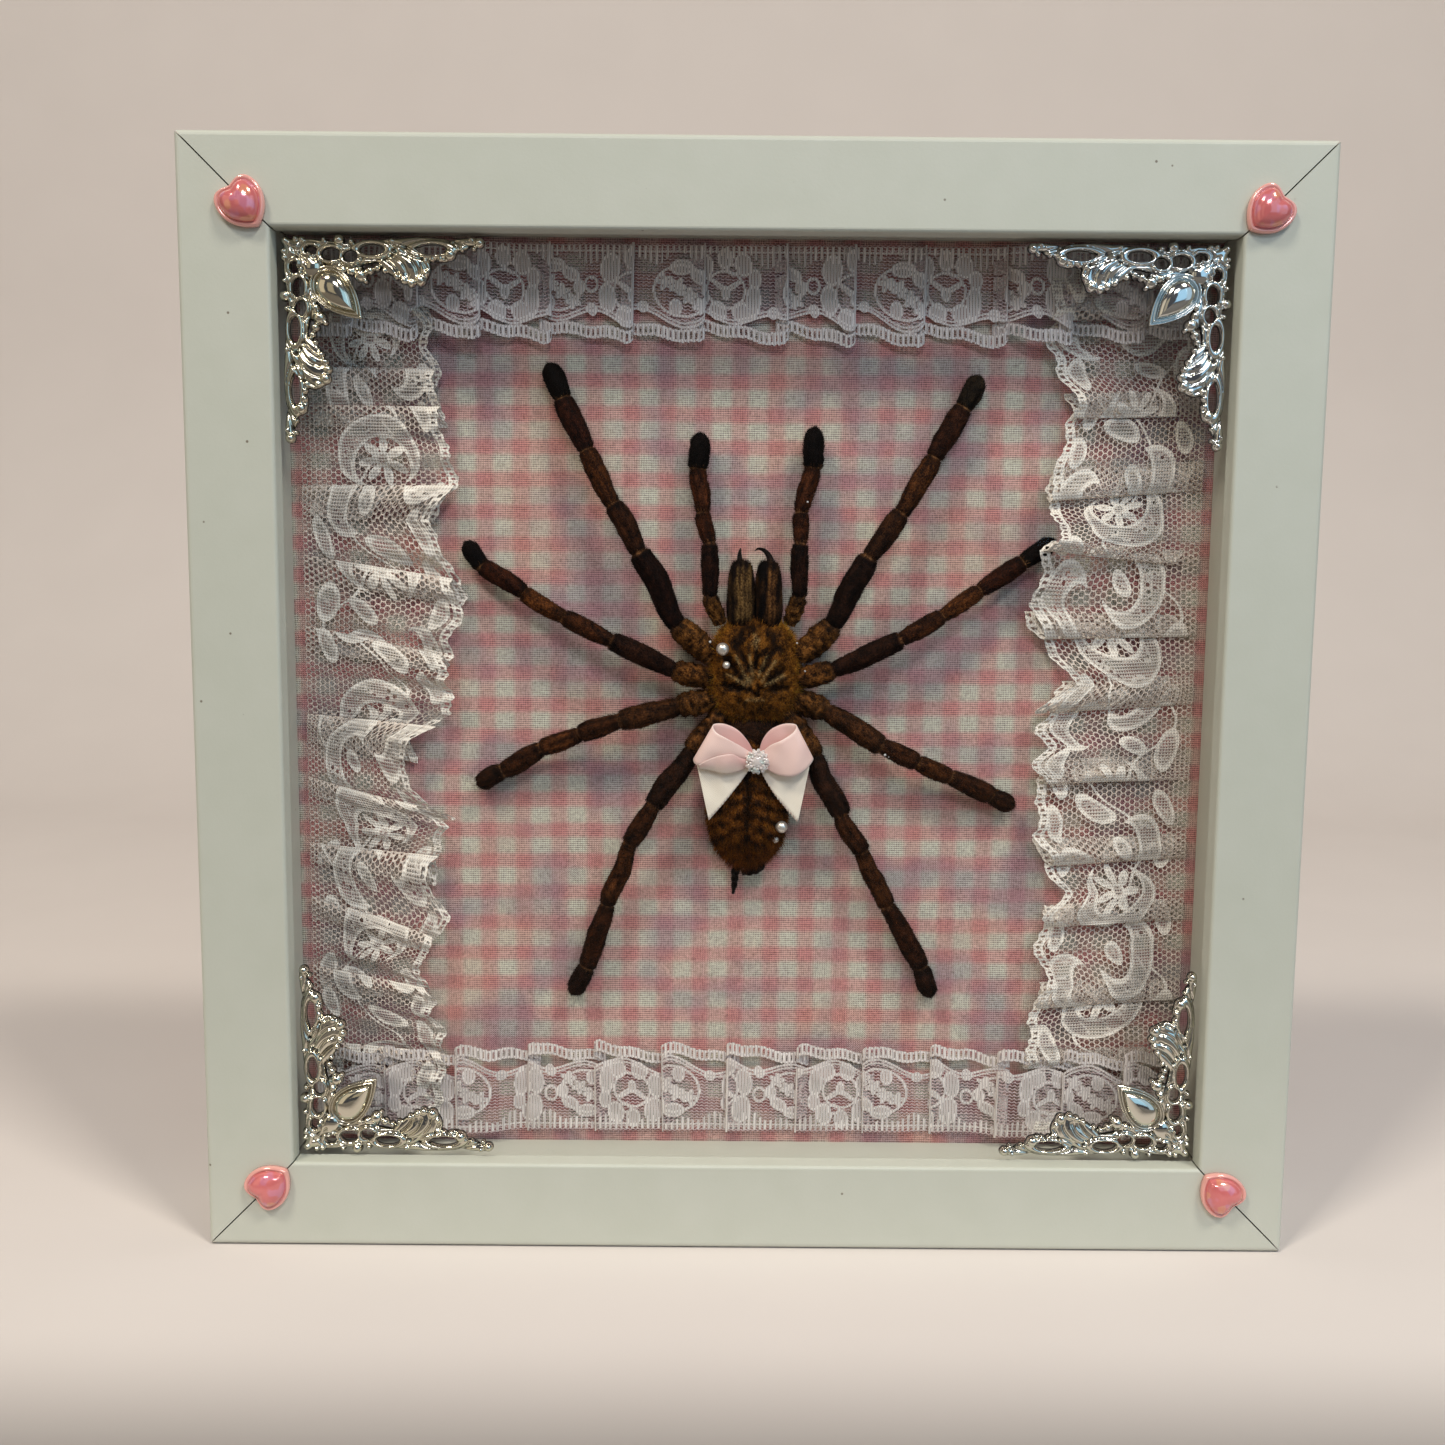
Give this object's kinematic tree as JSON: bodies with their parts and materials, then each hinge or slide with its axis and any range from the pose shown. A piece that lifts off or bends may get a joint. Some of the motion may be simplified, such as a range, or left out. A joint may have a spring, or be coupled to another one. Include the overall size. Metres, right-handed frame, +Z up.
{
  "type": "framed tarantula specimen",
  "caption": "Dried tarantula with a ribbon bow, laid on gingham and lace behind glass in a square white box frame with silver corner ornaments and heart cabochons.",
  "frame": {"origin": "middle of the frame's base, on the plane it stands on, halfway through its depth", "axes": "+Z up, +Y towards the back, so the front with the glass faces -Y; +X to the right as seen from the front"},
  "size_m": [0.25, 0.0392, 0.25],
  "materials": {
    "white_paint": "satin white paint on wood",
    "glass": "clear float glass",
    "gingham": "woven cotton gingham, pink and pale grey",
    "board": "raw fibreboard",
    "steel": "zinc plated",
    "lace": "white nylon raschel lace",
    "silver": "bright silver plate",
    "heart": "iridescent pearl lacquer",
    "pearl": "pearl coating",
    "satin": "satin ribbon, shiny outside and twill inside",
    "beads": "clear faceted beads",
    "golden": "dry cuticle under golden brown hairs",
    "brown": "dry cuticle under dark brown hairs",
    "black": "bare black cuticle"
  },
  "bodies": {
    "root": {"abdomen": "golden", "backing_board": "board", "bow_beads": "beads", "bow_ribbon": "satin", "carapace": "golden", "chelicera_left": "brown", "chelicera_right": "brown", "corner_ornament_bottom_left": "silver", "corner_ornament_bottom_right": "silver", "corner_ornament_top_left": "silver", "corner_ornament_top_right": "silver", "fang_left": "black", "fang_right": "black", "flex_tab_1": "steel", "flex_tab_2": "steel", "flex_tab_3": "steel", "flex_tab_4": "steel", "flex_tab_5": "steel", "flex_tab_6": "steel", "flex_tab_7": "steel", "flex_tab_8": "steel", "gingham_cloth": "gingham", "glass_pane": "glass", "hanger_plate": "steel", "heart_bottom_left": "heart", "heart_bottom_right": "heart", "heart_top_left": "heart", "heart_top_right": "heart", "lace_bottom": "lace", "lace_left": "lace", "lace_right": "lace", "lace_top": "lace", "leg_1_left": "brown", "leg_1_right": "brown", "leg_2_left": "brown", "leg_2_right": "brown", "leg_3_left": "brown", "leg_3_right": "brown", "leg_4_left": "brown", "leg_4_right": "brown", "palp_left": "brown", "palp_right": "brown", "pearl_head_large": "pearl", "pearl_head_small": "pearl", "pearl_tail_large": "pearl", "pearl_tail_small": "pearl", "rail_bottom": "white_paint", "rail_left": "white_paint", "rail_right": "white_paint", "rail_top": "white_paint", "spacer_bottom": "white_paint", "spacer_left": "white_paint", "spacer_right": "white_paint", "spacer_top": "white_paint", "spinneret_left": "black", "spinneret_right": "black"}
  },
  "joints": []
}
